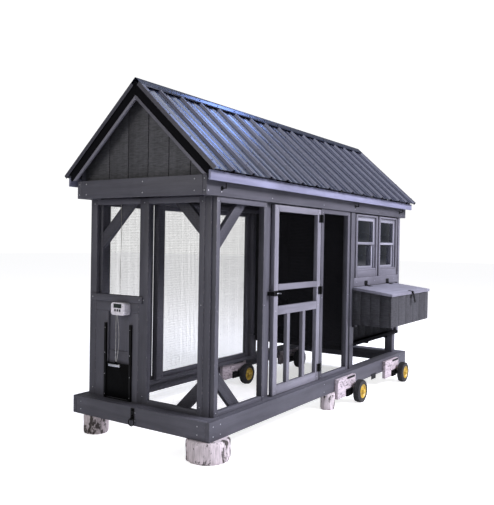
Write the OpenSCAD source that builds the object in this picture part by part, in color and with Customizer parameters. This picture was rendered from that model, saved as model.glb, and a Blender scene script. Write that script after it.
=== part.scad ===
// Mobile chicken coop: a screened run under a ribbed metal roof, with a raised henhouse, a nest box,
// an automatic pop door, a walk-in door and four small wheels.
// Shapes are drawn from the base frame's outer corner (x along the coop from the pop-door gable,
// y from the window side inwards, z up from the underside of the base), then place() moves them
// into the part's own frame: origin on the ground at the middle of the bounding box.

/* [Base] */
// Length of the base frame
base_l = 3887; // [3600:1:4200]
// Width of the base frame
base_w = 1381; // [1300:1:1500]
// Thickness of a framing plank
plank_t = 38; // [35:1:40]
// Height of a base or header plank
plank_h = 140; // [135:1:150]
// Gap between the ground and the underside of the base
ground_gap = 155; // [150:1:165]

/* [Walls] */
// Set-back of the gable screen wall from the base end
gable_in = 112; // [105:1:115]
// Set-back of the long walls from the base side
side_in = 57; // [50:1:60]
// Height of the undersides of the headers above the base's underside
header_z = 1725; // [1710:1:1750]
// Start of the henhouse along the coop
house_x = 2410; // [2380:1:2430]
// Height of the henhouse floor's underside
floor_z = 398; // [380:1:420]

/* [Roof] */
// Slope of the roof in degrees
pitch = 42.5; // [40:0.5:45]
// Height of the roof sheet's edge at the eave
eave_z = 1893; // [1885:1:1900]
// Reach of the roof sheet past the base side
eave_reach = 55; // [45:1:65]
// Reach of the roof past the base end
rake_reach = 60; // [55:1:80]
// Number of rib spacings along the roof
rib_count = 16; // [12:1:20]
// Height of a roof rib
rib_h = 19; // [15:1:25]

/* [Doors] */
// Left edge of the walk-in door
door_x0 = 925; // [922:1:930]
// Right edge of the walk-in door
door_x1 = 1741; // [1735:1:1743]
// Lowest edge of the walk-in door
door_z0 = 146; // [144:1:150]
// Highest edge of the walk-in door
door_z1 = 1712; // [1700:1:1720]
// Travel of the automatic pop door
pop_travel = 280; // [250:5:290]

/* [Nest box] */
// Left side of the nest box
nest_x0 = 2455; // [2450:1:2465]
// Right side of the nest box
nest_x1 = 3571; // [3560:1:3580]
// Reach of the nest box in front of the base side
nest_reach = 360; // [340:1:370]
// Angle that the hasp strap stands off the box
hasp_angle = 12; // [9:1:16]

/* [Wheels] */
// Outer radius of a tyre
tyre_r = 112; // [108:1:116]
// Width of a tyre
tyre_w = 74; // [60:1:76]
// Radius of a hub
hub_r = 68; // [60:1:72]

/* [Hidden] */

$fn = 48;
joint_gap = 1;            // paint line between two boards that meet
plate_w = 89;             // width of a framing 2x4
sheathing = 16;           // thickness of siding and flooring panels
wall_out = side_in;       // outer plane of the near long wall
wall_in = side_in + plank_t;
far_out = base_w - side_in;
far_in = far_out - plank_t;
mid_y = base_w / 2;
post_y = wall_in + joint_gap;
wall_top = header_z - joint_gap;
wall_end = base_l - gable_in;
rail_h = 41;              // height of a screen frame's rail
stile_w = 44;             // width of a screen frame's stile
mesh_t = 2;

header_y = 41;            // outer face of the near side header
header_x = -20;           // outer face of the gable header
header_top = header_z + plank_h;

rise = tan(pitch);
sheet_t = 1.2;
deck_t = 12;
trim_t = 1.5;
roof_l = base_l + 2 * rake_reach;
roof_x = -rake_reach;
slope_l = (mid_y + eave_reach) / cos(pitch);
rib_pitch = roof_l / rib_count;
rib_start = 0.87;         // place of the first rib, in rib pitches from the end
rib_base = 46;
rib_top = 16;
deck_drop = (sheet_t + deck_t) / cos(pitch);
rafter_drop = deck_drop + plate_w / cos(pitch);

hasp_y = -381;            // pivot of the hasp strap
hasp_z = 912;
hasp_len = 112;
hasp_t = 3;
y_low = hasp_y - hasp_len * sin(hasp_angle) - hasp_t / 2 * cos(hasp_angle);
y_high = base_w + eave_reach + (sheet_t + rib_h + trim_t) * sin(pitch);
y_shift = -(y_low + y_high) / 2;

lid_x0 = nest_x0 - 10;
lid_x1 = nest_x1 + 15;
lid_front = -nest_reach - 12;
lid_back = 44;
lid_front_z = 917;
lid_back_z = 966.5;
lid_t = 28;
lid_rise = (lid_back_z - lid_front_z) / (lid_back - lid_front);
lid_pin_y = 48;
lid_pin_z = 973;
nest_z = 585;
nest_hinges = [2795, 3398];

win_z0 = 1129;            // foot of the window openings
win_z1 = 1692;            // head of the window openings
windows = [[2572, 3055], [3180, 3644]];
belt_z0 = 968;            // board that carries the lid hinges
belt_z1 = 1057;
sash_z = 1418;            // middle of the meeting rails
splice_z = floor_z - 18;
house_in = house_x + 45;  // face of the partition towards the run
rear_post_x = wall_end - plate_w;

door_pin_x = door_x1 + 3;
door_pin_y = wall_out - 8;
door_pin_r = 5;
door_hinge_z = [258, 972, 1630];
latch_z = 985;
bolt_r = 5;
bolt_clear = 0.05;
bolt_y = wall_out - 14;

pop_y0 = 895;             // pop door opening
pop_y1 = 1108;
pop_rail_y0 = 846;
pop_rail_y1 = 1138;
pop_rail_w = 20;
pop_rail_top = 740;
pop_panel_z0 = 152;
pop_panel_z1 = 427;
pop_panel_x = gable_in - 11;
strip_top = 520;
ledge_z0 = 914;
ledge_z1 = 965;
case_y0 = 872;
case_y1 = 1017;
case_z0 = 815;
case_z1 = 912;
case_x = gable_in - 65;
button_z = 852;
button_y = [973, 948, 923];

axle_r = 8;
axle_z = tyre_r - ground_gap;
axle_x = [2333, 3526];
wheel_gap = 28;           // from the wheel plate to the tyre
near_wheel_y = -plank_t - wheel_gap - tyre_w / 2;
far_plate_y = base_w - 2 * plank_t;
far_wheel_y = far_plate_y - wheel_gap - tyre_w / 2;

tow_y = 724;
tow_z = 56;
eye_r = 9;
tow_x = -4 - eye_r - 3;
tow_ring_r = 27;

module place() translate([-base_l / 2, y_shift, ground_gap]) children();

// a block between two corners
module block(low, high) translate(low) cube(high - low);

// a rod along Y, X or Z from a point
module rod_y(p, r, l) translate(p) rotate([-90, 0, 0]) cylinder(r = r, h = l);
module rod_x(p, r, l) translate(p) rotate([0, 90, 0]) cylinder(r = r, h = l);
module rod_z(p, r, l) translate(p) cylinder(r = r, h = l);

// the same shape on the far side of the coop
module both_sides() {
  children();
  translate([0, base_w, 0]) mirror([0, 1, 0]) children();
}

// the same shape at the other gable
module both_ends() {
  children();
  translate([base_l, 0, 0]) mirror([1, 0, 0]) children();
}

// an outline in the Y-Z plane drawn along X
module along_x(x0, x1) translate([x0, 0, 0]) rotate([90, 0, 90]) linear_extrude(x1 - x0) children();

// height of the roof pan over a place on the near slope
function pan_z(y) = eave_z + (y + eave_reach) * rise;
function lid_z(y) = lid_front_z + (y - lid_front) * lid_rise;

module base_frame() place() color("#5b5a63") {
  both_sides() {
    block([0, 0, 0], [base_l, plank_t, plank_h]);
    block([plank_h + plank_t + 2, plank_t + joint_gap, plank_h - plank_t],
          [base_l - plank_h - plank_t - 2, plank_t + plate_w, plank_h]);
  }
  both_ends() {
    block([0, plank_t + joint_gap, 0], [plank_t, base_w - plank_t - joint_gap, plank_h]);
    block([plank_t + joint_gap, plank_t + joint_gap, plank_h - plank_t],
          [plank_t + plank_h, base_w - plank_t - joint_gap, plank_h]);
  }
}

module posts() place() color("#4b4a53") {
  // corner posts at the pop-door gable
  block([gable_in + 1, post_y, plank_h], [gable_in + 1 + plate_w, 153, wall_top]);
  block([gable_in + plank_t + 1, base_w - 153, plank_h],
        [gable_in + plank_t + 1 + plate_w, base_w - post_y, wall_top]);
  // posts beside the walk-in door and at the henhouse, and the rear corners
  both_sides() {
    block([830, post_y, plank_h], [830 + plate_w, 153, wall_top]);
    // the henhouse post is spliced at the height of the floor
    block([house_x, wall_out, plank_h], [house_x + plate_w, wall_out + plate_w, splice_z]);
    block([house_x, wall_out, splice_z + joint_gap],
          [house_x + plate_w, wall_out + plate_w, wall_top]);
    block([rear_post_x, post_y, plank_h], [wall_end, post_y + plate_w, wall_top]);
  }
}

module header_boards() place() color("#7c7b92") {
  both_sides() block([header_x, header_y, header_z],
                     [base_l - header_x, header_y + plank_t, header_top]);
  both_ends() block([header_x, header_y + plank_t + joint_gap, header_z],
                    [header_x + plank_t, base_w - header_y - plank_t - joint_gap, header_top]);
}

module top_plates() place() color("#4b4a53") both_sides()
  block([gable_in, header_y + plank_t + joint_gap, header_z],
        [wall_end, header_y + plank_t + plate_w, header_z + plank_t]);

// grooved siding of the gable above the header, one board between each two grooves
groove_pitch = 203;
groove_w = 6;
gable_x = 44;             // outer face of the gable siding
verge_h = 98;             // drop from the roof sheet to the verge board's lower edge
strip_h = 32;
module gable_siding() place() color("#3f3f46") both_ends()
  for (i = [-3 : 2]) along_x(gable_x, gable_x + sheathing) intersection() {
    polygon([[60, header_top + joint_gap], [base_w - 60, header_top + joint_gap],
             [base_w - 60, pan_z(60) - deck_drop - 1],
             [mid_y, pan_z(mid_y) - deck_drop - 1],
             [60, pan_z(60) - deck_drop - 1]]);
    translate([mid_y - 44 + i * groove_pitch + groove_w / 2 + (i == -3 ? -100 : 0), 0])
      square([groove_pitch - groove_w + (i == -3 || i == 2 ? 100 : 0), 4000]);
  }

module rafter(x) along_x(x, x + plank_t)
  polygon([[-1, header_top + joint_gap], [78, header_top + joint_gap],
           [mid_y - 20, pan_z(mid_y - 20) - rafter_drop],
           [mid_y - 20, pan_z(mid_y - 20) - deck_drop - 0.5],
           [-1, pan_z(-1) - deck_drop - 0.5]]);

module roof_framing() place() color("#3a3a40") {
  inner_x = gable_x + sheathing + joint_gap;
  both_sides() for (i = [0 : 6]) rafter(inner_x + i * (base_l - 2 * inner_x - plank_t) / 6);
  block([inner_x, mid_y - 19, pan_z(mid_y) - rafter_drop - 20],
        [base_l - inner_x, mid_y + 19, pan_z(mid_y - 19) - deck_drop - 1]);
  // verge boards under the overhanging roof, with a trim strip along each lower edge
  both_ends() both_sides() {
    along_x(roof_x + 6, roof_x + 22) verge(deck_drop + 1, verge_h);
    along_x(roof_x + 4, roof_x + 24) verge(verge_h + joint_gap, verge_h + strip_h);
  }
}

// a board up the slope between two drops below the roof, cut level above the gable header
module verge(top, bottom) intersection() {
  polygon([[-1, pan_z(-1) - bottom], [mid_y - 0.5, pan_z(mid_y - 0.5) - bottom],
           [mid_y - 0.5, pan_z(mid_y - 0.5) - top], [-1, pan_z(-1) - top]]);
  translate([-100, header_top + joint_gap]) square([2000, 2000]);
}

module roof_deck() place() color("#1d1d20") both_sides() along_x(roof_x + 3, roof_x + roof_l - 3)
  polygon([[-18, pan_z(-18) - deck_drop], [mid_y - 0.5, pan_z(mid_y - 0.5) - deck_drop],
           [mid_y - 0.5, pan_z(mid_y - 0.5) - sheet_t / cos(pitch)],
           [-18, pan_z(-18) - sheet_t / cos(pitch)]]);

// a shape given across the slope: x along the roof, y below the pan, drawn up the slope
module up_slope(l) translate([0, -eave_reach, eave_z]) rotate([pitch - 90, 0, 0])
  linear_extrude(l) children();

// outline of the ribbed sheet's upper side, from one end to the other
function ribs(t) = [for (i = [0 : rib_count - 1], k = [0 : 3])
  let (x = roof_x + (i + rib_start) * rib_pitch)
  [x + [-rib_base / 2 - t, -rib_top / 2 - t, rib_top / 2 + t, rib_base / 2 + t][k],
   [0, -rib_h, -rib_h, 0][k] - t]];

module ribbed_sheet() up_slope(slope_l - 2) {
  upper = concat([[roof_x, -sheet_t]], ribs(sheet_t), [[roof_x + roof_l, -sheet_t]]);
  lower = concat([[roof_x, 0]], ribs(0), [[roof_x + roof_l, 0]]);
  polygon(concat(upper, [for (i = [len(lower) - 1 : -1 : 0]) lower[i]]));
}

module roof_sheet_near() place() color("#2a2d3a") ribbed_sheet();
module roof_sheet_far() place() color("#2a2d3a")
  translate([0, base_w, 0]) mirror([0, 1, 0]) ribbed_sheet();

module ridge_cap() place() color("#2f3242") along_x(roof_x, roof_x + roof_l) {
  wing = 62;
  lift = (rib_h + sheet_t + trim_t + 0.5) / cos(pitch);
  foot = pan_z(mid_y - wing) + lift;
  top = pan_z(mid_y) + lift;
  polygon([[mid_y - wing, foot], [mid_y, top], [mid_y + wing, foot],
           [mid_y + wing, foot + 2], [mid_y, top + 2], [mid_y - wing, foot + 2]]);
}

// folded edge trim on the rakes, cut back at the ridge so that the two slopes stay apart
module rake_trims() place() color("#34364a") both_ends() both_sides() up_slope(slope_l - 34) {
  top = -rib_h - sheet_t;
  flange = 34;
  skirt = 10;
  polygon([[roof_x - trim_t, top - trim_t], [roof_x + flange, top - trim_t], [roof_x + flange, top],
           [roof_x, top], [roof_x, skirt], [roof_x - trim_t, skirt]]);
}

module fascia_boards() place() color("#a5a5c8") both_sides()
  block([roof_x + 2, -20, 1822], [roof_x + roof_l - 2, -2, 1890]);

// a frame of two stiles and two rails in the X-Z plane
module side_frame(x0, x1, left_w, right_w, y) {
  block([x0, y, plank_h], [x0 + left_w, y + plank_t, wall_top]);
  block([x1 - right_w, y, plank_h], [x1, y + plank_t, wall_top]);
  block([x0 + left_w + joint_gap, y, plank_h],
        [x1 - right_w - joint_gap, y + plank_t, plank_h + rail_h - 5]);
  block([x0 + left_w + joint_gap, y, wall_top - rail_h],
        [x1 - right_w - joint_gap, y + plank_t, wall_top]);
}

// bays of the long walls: start, end, left stile, right stile
near_bays = [[125, 802, stile_w, stile_w], [1750, 2375, 54, 50]];
far_bays = [[gable_in + plank_t + 1, 829, stile_w, 70], [920, 1664, 26, stile_w],
            [1666, house_x - 1, stile_w, stile_w]];
gable_open = [[204, 692], [783, 1252]];

module screen_frames() place() color("#7f7e93") {
  for (b = near_bays) side_frame(b[0], b[1], b[2], b[3], wall_out);
  for (b = far_bays) side_frame(b[0], b[1], b[2], b[3], far_in);
  // gable wall: stiles and mullion
  for (y = [[154, 203], [693, 782], [1253, 1322]])
    block([gable_in, y[0], plank_h], [gable_in + plank_t, y[1], wall_top]);
  for (y = gable_open)
    block([gable_in, y[0], wall_top - rail_h], [gable_in + plank_t, y[1], wall_top]);
  block([gable_in, gable_open[0][0], plank_h], [gable_in + plank_t, gable_open[0][1], 174]);
  // ledge over the pop door, proud of the wall
  block([gable_in, gable_open[1][0], ledge_z0], [gable_in + plank_t, gable_open[1][1], ledge_z1]);
  block([gable_in - 16, 740, ledge_z0], [gable_in - joint_gap, 1296, ledge_z1]);
}

module side_mesh(b, y)
  block([b[0] + b[2] + 0.5, y, plank_h + rail_h - 4],
        [b[1] - b[3] - 0.5, y + mesh_t, wall_top - rail_h - 1]);

module run_mesh() place() color("#2b2b2b") {
  for (b = near_bays) side_mesh(b, wall_in - 8);
  for (b = far_bays) side_mesh(b, far_in + 6);
  block([gable_in + 30, gable_open[0][0] + 0.5, 175],
        [gable_in + 30 + mesh_t, gable_open[0][1] - 0.5, wall_top - rail_h - 1]);
  block([gable_in + 30, gable_open[1][0] + 0.5, ledge_z1 + 1],
        [gable_in + 30 + mesh_t, gable_open[1][1] - 0.5, wall_top - rail_h - 1]);
}

// a 45 degree brace in a corner: legs of the triangle that it closes, its width and thickness
module brace_outline(leg) polygon([[leg, 0], [leg - plate_w * sqrt(2), 0],
                                   [0, leg - plate_w * sqrt(2)], [0, leg]]);

module knee_braces() place() color("#6f6e80") {
  top_y = wall_top;
  // in the gable wall, upper left and upper right, lower right
  translate([gable_in + plank_t + 2, 1226, top_y - 1]) rotate([90, 180, 90])
    linear_extrude(plank_t) brace_outline(390);
  translate([gable_in + plank_t + 55, 154, top_y - 1]) rotate([90, 180, 90]) mirror([1, 0, 0])
    linear_extrude(plank_t) brace_outline(390);
  translate([gable_in + plank_t + 55, 154, plank_h + 1]) rotate([90, 0, 90])
    linear_extrude(plank_t) brace_outline(330);
  // in the near wall's first bay, upper and lower
  translate([gable_in + plate_w + 3, post_y + plank_t, top_y - 1]) rotate([90, 0, 0])
    linear_extrude(plank_t) mirror([0, 1, 0]) brace_outline(390);
  translate([gable_in + plate_w + 3, post_y + plank_t, plank_h + 1]) rotate([90, 0, 0])
    linear_extrude(plank_t) brace_outline(330);
}

module popdoor_wall() place() color("#5b5a63") {
  block([gable_in, 783, 834], [gable_in + plank_t, 1252, ledge_z0 - joint_gap]);
  block([gable_in, pop_y1 + 1, plank_h], [gable_in + plank_t, 1252, 833]);
  block([gable_in, 783, plank_h], [gable_in + plank_t, pop_y0 - 1, 833]);
  // backing behind the panel's travel, its lower strip a little prouder
  block([gable_in + 19, pop_y0, strip_top + 1], [gable_in + plank_t, pop_y1, 833]);
  block([gable_in + 14, pop_y0, 392], [gable_in + plank_t, pop_y1, strip_top]);
}

module popdoor_rail(y, inward) difference() {
  block([gable_in - 17, y, plank_h + 2], [gable_in, y + pop_rail_w, pop_rail_top]);
  block([pop_panel_x - 1, inward ? y - 1 : y + 12, pop_panel_z0 - 3],
        [pop_panel_x + 4, inward ? y + 8 : y + pop_rail_w + 1, pop_rail_top + 1]);
}

module popdoor_rails() place() color("#16171a") {
  popdoor_rail(pop_rail_y0, false);
  popdoor_rail(pop_rail_y1 - pop_rail_w, true);
  block([gable_in - 16, pop_rail_y0 + pop_rail_w + 1, plank_h],
        [gable_in, pop_rail_y1 - pop_rail_w - 1, pop_panel_z0 - 3]);
}

module popdoor_panel() place() color("#0d0d0f") {
  block([pop_panel_x, pop_rail_y0 + 14, pop_panel_z0], [pop_panel_x + 3, pop_rail_y1 - 14, pop_panel_z1]);
  block([pop_panel_x - 12, 992, pop_panel_z1 - 6], [pop_panel_x, 1012, pop_panel_z1 + 10]);
}

module popdoor_bar() place() color("#e9e9ee")
  block([pop_panel_x - 9, 962, 396], [pop_panel_x, 1086, 416]);

// a slab with round vertical edges, seen from the gable
module rounded_face(y0, y1, z0, z1, r) {
  square_w = y1 - y0;
  translate([y0 + r, z0]) square([square_w - 2 * r, z1 - z0]);
  translate([y0, z0 + r]) square([square_w, z1 - z0 - 2 * r]);
  for (y = [y0 + r, y1 - r], z = [z0 + r, z1 - r]) translate([y, z]) circle(r);
}

module controller_case() place() color("#f1eef0") difference() {
  along_x(case_x, gable_in) rounded_face(case_y0, case_y1, case_z0, case_z1, 22);
  block([case_x - 1, 905, 870], [case_x + 3, 991, 904]);
  for (y = button_y) block([case_x - 1, y - 8, button_z - 10], [case_x + 8, y + 8, button_z + 10]);
}

module controller_screen() place() color("#15181a") {
  block([case_x + 1, 906, 871], [case_x + 3, 990, 903]);
  rod_x([case_x - 1.5, 888, 885], 3, 1.5);
}

module controller_button(i) place() color("#2a2c30")
  block([case_x - 2, button_y[i] - 7, button_z - 9], [case_x + 4, button_y[i] + 7, button_z + 9]);
module button_up() controller_button(0);
module button_set() controller_button(1);
module button_down() controller_button(2);

// the two falls of the lifting cord, from the controller to the pop door
cord_x = pop_panel_x - 6;
module lift_cord() place() color("#dcdcd6") {
  rod_z([cord_x, 998, pop_panel_z1 + 10.4], 1.5, case_z0 - pop_panel_z1 - 10.4);
  rod_z([cord_x, 1006, pop_panel_z1 + 10.4], 1.5, case_z0 - pop_panel_z1 - 10.4);
}

// thin upright lead behind the upper screen
module sensor_lead() place() color("#b9b7ab")
  rod_z([gable_in + 36, 1018, ledge_z1 + 0.5], 1.8, wall_top - rail_h - ledge_z1 - 1);

nest_open = [[2520, 3540], [612, 900]];

module house_wall_near() {
  x0 = house_x + plate_w + 1;
  x1 = rear_post_x - 1;
  y0 = wall_in + 1;
  y1 = y0 + sheathing;
  block([x0, y0, floor_z + 1], [x1, y1, nest_open[1][0] - 1]);
  block([x0, y0, nest_open[1][0]], [nest_open[0][0], y1, nest_open[1][1]]);
  block([nest_open[0][1], y0, nest_open[1][0]], [x1, y1, nest_open[1][1]]);
  block([x0, y0, nest_open[1][1] + 1], [x1, y1, win_z0 - 1]);
  for (s = [[x0, windows[0][0] - 1], [windows[0][1] + 1, windows[1][0] - 1], [windows[1][1] + 1, x1]])
    block([s[0], y0, win_z0], [s[1], y1, win_z1]);
  block([x0, y0, win_z1 + 1], [x1, y1, wall_top]);
}

module house_walls() place() color("#4f4e5a") {
  house_wall_near();
  // plain siding on the far side and at the rear
  block([house_x + plate_w + 1, far_in - 1 - sheathing, floor_z + 1],
        [rear_post_x - 1, far_in - 1, wall_top]);
  block([wall_end - sheathing - 2, post_y + plate_w + 1, floor_z - 40],
        [wall_end - 2, base_w - post_y - plate_w - 1, wall_top]);
}

hatch_y = [820, 1100];
hatch_z = [floor_z + 17, 800];

module house_partition() place() color("#33333a") {
  x0 = house_in;
  x1 = x0 + sheathing;
  y0 = wall_out + plate_w + 1;
  y1 = base_w - y0;
  block([x0, y0, floor_z - 12], [x1, hatch_y[0] - 1, wall_top]);
  block([x0, hatch_y[1] + 1, floor_z - 12], [x1, y1, wall_top]);
  block([x0, hatch_y[0], hatch_z[1]], [x1, hatch_y[1], wall_top]);
  block([x0, hatch_y[0], floor_z - 12], [x1, hatch_y[1], hatch_z[0]]);
  // batten along the foot of the partition
  block([x0 - 14, y0, floor_z - 28], [x0 - 0.5, y1, floor_z - 8]);
}

module house_floor() place() color("#6a6256") {
  x0 = house_in + sheathing + 1;
  block([x0, 148, floor_z], [rear_post_x - 1, base_w - 148, floor_z + 15]);
  // rim boards along the foot of the walls
  both_sides() block([house_x + plate_w + 1, wall_out, floor_z - plank_t],
                     [wall_end, wall_in, floor_z]);
  // joists
  for (x = [x0 + 5, 3080, rear_post_x - 50])
    block([x, 148, floor_z - plate_w], [x + plank_t, base_w - 148, floor_z - 0.5]);
}

module house_trim() place() color("#8a89a2") {
  // casings beside and above the windows, and the aprons below them
  for (w = windows) {
    block([w[0] - 41, wall_out, belt_z1 + 1], [w[0] - 1, wall_in, 1712]);
    block([w[1] + 1, wall_out, belt_z1 + 1], [w[1] + 41, wall_in, 1712]);
    block([w[0], wall_out, win_z1 + 1], [w[1], wall_in, 1712]);
    block([w[0], wall_out, belt_z1 + 1], [w[1], wall_in, win_z0 - 1]);
    along_x(w[0] + 1, w[1] - 1) polygon([[wall_out + 1, win_z0], [frame_y[0] - 1, win_z0],
      [frame_y[0] - 1, win_z0 + 22], [wall_out + 1, win_z0 + 12]]);
  }
  block([house_x + plate_w + 1, wall_out, belt_z0], [wall_end, wall_in, belt_z1]);
  block([wall_end - 49, wall_out, belt_z1 + 1], [wall_end, wall_in, wall_top]);
  block([wall_end - 49, wall_out, floor_z + 1], [wall_end, wall_in, belt_z0 - 1]);
}

frame_w = 15;             // bar of a window frame
frame_y = [wall_in - 19, wall_in + 22];
sash_bar = 26;
sash_in = 17 + sash_bar;   // from the opening to the glass

// four bars around an opening in the X-Z plane, with a seam at each corner
module ring(x0, x1, z0, z1, w, y0, y1) {
  seam = 0.4;
  block([x0, y0, z0], [x0 + w, y1, z1]);
  block([x1 - w, y0, z0], [x1, y1, z1]);
  block([x0 + w + seam, y0, z0], [x1 - w - seam, y1, z0 + w]);
  block([x0 + w + seam, y0, z1 - w], [x1 - w - seam, y1, z1]);
}

// window frame with the fixed upper sash in its outer track
module window_frames() place() color("#b9b9cf") for (w = windows) {
  ring(w[0] + 1, w[1] - 1, win_z0 + 1, win_z1 - 1, frame_w, frame_y[0], frame_y[1]);
  ring(w[0] + 17, w[1] - 17, sash_z - 18, win_z1 - 17, sash_bar, frame_y[0] + 2, frame_y[0] + 16);
}

module window_panes() place() color("#5d6a78", 0.5) for (w = windows)
  block([w[0] + sash_in + 1, frame_y[0] + 7, sash_z - 17 + sash_bar],
        [w[1] - sash_in - 1, frame_y[0] + 11, win_z1 - sash_in - 1]);

// lower sash, in the inner track behind the upper one
module lower_sash(w) {
  y0 = frame_y[0] + 20;
  ring(w[0] + 17, w[1] - 17, win_z0 + 18, sash_z + 16, sash_bar, y0, y0 + 14);
  block([w[0] + sash_in + 0.4, y0 + 5, win_z0 + sash_in + 1.4],
        [w[1] - sash_in - 0.4, y0 + 9, sash_z + 15.6 - sash_bar]);
}
module sash_left() place() color("#a6a6bd") lower_sash(windows[0]);
module sash_right() place() color("#a6a6bd") lower_sash(windows[1]);

module roost_bars() place() color("#8d7354")
  for (x = [2850, 3250]) block([x, 150, 820], [x + 45, base_w - 150, 858]);

module nest_box() place() color("#55545f") {
  t = sheathing;
  back = wall_out - joint_gap;
  for (x = [nest_x0, nest_x1 - t]) along_x(x, x + t)
    polygon([[-nest_reach + t + 1, nest_z], [back, nest_z], [back, 935],
             [lid_back, lid_z(lid_back) - lid_t - 0.5],
             [-nest_reach + t + 1, lid_z(-nest_reach + t + 1) - lid_t - 0.5]]);
  // lining of the way through the wall
  x_in = [house_x + plate_w + 1, nest_open[0][0] - 1, nest_open[0][1] + 1];
  block([x_in[0], wall_out, nest_z], [x_in[1], wall_in, belt_z0 - 1]);
  block([x_in[2], wall_out, nest_z], [nest_x1, wall_in, belt_z0 - 1]);
  block([x_in[1] + 1, wall_out, nest_z], [x_in[2] - 1, wall_in, nest_open[1][0] - 1]);
  block([x_in[1] + 1, wall_out, nest_open[1][1] + 1], [x_in[2] - 1, wall_in, belt_z0 - 1]);
  block([nest_x0, -nest_reach, nest_z], [nest_x1, -nest_reach + t, lid_z(-nest_reach) - lid_t - 0.5]);
  block([nest_x0 + t + 1, -nest_reach + t + 1, nest_z], [nest_x1 - t - 1, back, nest_z + t]);
  // angle cleats under the box, against the wall
  for (x = [nest_x0 + 6, nest_x1 - 46]) block([x, 20, nest_z - 26], [x + 40, back, nest_z - 0.5]);
}

module nest_dividers() place() color("#6a6256") for (i = [1, 2]) {
  x = nest_x0 + i * (nest_x1 - nest_x0) / 3;
  along_x(x - 6, x + 6)
    polygon([[-nest_reach + 18, nest_z + 17], [wall_out - 2, nest_z + 17], [wall_out - 2, 860],
             [-nest_reach + 18, 840]]);
}

module nest_lid() place() color("#77768b") along_x(lid_x0, lid_x1)
  polygon([[lid_front, lid_front_z - lid_t], [lid_back, lid_back_z - lid_t],
           [lid_back, lid_back_z], [lid_front, lid_front_z]]);

lid_slope = atan(lid_rise);
module lid_leaves() place() color("#141416") {
  for (x = nest_hinges) {
    translate([x - 38, lid_back - 2, lid_back_z + 0.4]) rotate([lid_slope, 0, 0])
      translate([0, -48, 0]) cube([76, 48, 3]);
    rod_x([x - 9, lid_pin_y, lid_pin_z], 4, 18);
    block([x - 9, lid_back - 6, lid_back_z + 1], [x + 9, lid_pin_y, lid_pin_z - 1]);
  }
  // hasp plate on the lid, with its pivot in front of the edge
  translate([2995, lid_front + 1, lid_front_z + 0.4]) rotate([lid_slope, 0, 0]) cube([46, 40, 3]);
  block([2996, lid_front - 2.5, lid_front_z - 22], [3040, lid_front - 0.1, lid_front_z + 2]);
  rod_x([2998, hasp_y, hasp_z], 3, 40);
  rod_x([3009, hasp_y, hasp_z], 5, 18);
  block([3010, hasp_y, hasp_z - 3], [3026, lid_front - 2, hasp_z + 3]);
}

module hasp_strap() place() color("#141416")
  translate([0, hasp_y, hasp_z]) rotate([-hasp_angle, 0, 0]) {
    for (x = [2999, 3028]) difference() {
      union() {
        rod_x([x, 0, 0], 5, 9);
        block([x, -1.5, -12], [x + 9, 1.5, 0]);
      }
      rod_x([x - 1, 0, 0], 3.05, 11);
    }
    difference() {
      block([2996, -1.5, -hasp_len], [3040, 1.5, -8]);
      block([3011, -3, -56], [3025, 3, -22]);
    }
  }

// walk-in door: stiles, rails and the two slats of its lower half
mid_rails = [[1008, 1058], [805, 875]];
door_y1 = wall_in;
module door_rail(z) block([door_x0 + 66, wall_out, z[0]], [door_x1 - 66, door_y1, z[1]]);
module door_frame() place() color("#83829a") {
  block([door_x0, wall_out, door_z0], [door_x0 + 65, door_y1, door_z1]);
  block([door_x1 - 65, wall_out, door_z0], [door_x1, door_y1, door_z1]);
  door_rail([door_z1 - 52, door_z1]);
  door_rail(mid_rails[0]);
  door_rail(mid_rails[1]);
  door_rail([door_z0, door_z0 + 75]);
  for (x = [1152, 1424])
    block([x, wall_out + 2, door_z0 + 76], [x + 47, door_y1 - 2, mid_rails[1][0] - 1]);
}

module door_mesh() place() color("#2b2b2b") {
  x = [door_x0 + 66, door_x1 - 66];
  for (z = [[mid_rails[0][1] + 1, door_z1 - 53], [mid_rails[1][1] + 1, mid_rails[0][0] - 1]])
    block([x[0], door_y1 - 8, z[0]], [x[1], door_y1 - 6, z[1]]);
  for (s = [[x[0], 1151], [1200, 1423], [1472, x[1]]])
    block([s[0], door_y1 - 8, door_z0 + 76], [s[1], door_y1 - 6, mid_rails[1][0] - 1]);
}

// the door's hinge leaves with their outer knuckles, and the plate and loops of the bolt
bolt_loops = [door_x0 + 5, door_x0 + 61];
module door_hardware() place() color("#101012") {
  for (z = door_hinge_z) {
    block([door_pin_x - 44, wall_out - 3, z - 36], [door_pin_x - 7, wall_out, z + 36]);
    for (k = [-36, 14]) difference() {
      union() {
        rod_z([door_pin_x, door_pin_y, z + k], 8, 22);
        block([door_pin_x - 12, door_pin_y + 5, z + k], [door_pin_x - 2, wall_out, z + k + 22]);
      }
      rod_z([door_pin_x, door_pin_y, z + k - 1], door_pin_r + bolt_clear, 24);
    }
  }
  block([door_x0 + 1, wall_out - 3, latch_z - 22], [door_x0 + 65, wall_out, latch_z + 22]);
  for (x = bolt_loops) difference() {
    block([x - 4, wall_out - 24, latch_z - 10], [x + 4, wall_out - 3, latch_z + 10]);
    rod_x([x - 5, bolt_y, latch_z], bolt_r + bolt_clear, 10);
  }
}

// round bolt with its handle between the loops, drawn back so that the door is free
module door_bolt() place() color("#8f9096") {
  rod_x([door_x0 + 2, bolt_y, latch_z], bolt_r, 68);
  rod_y([door_x0 + 49, bolt_y - 26, latch_z], 3.5, 26);
}

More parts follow.
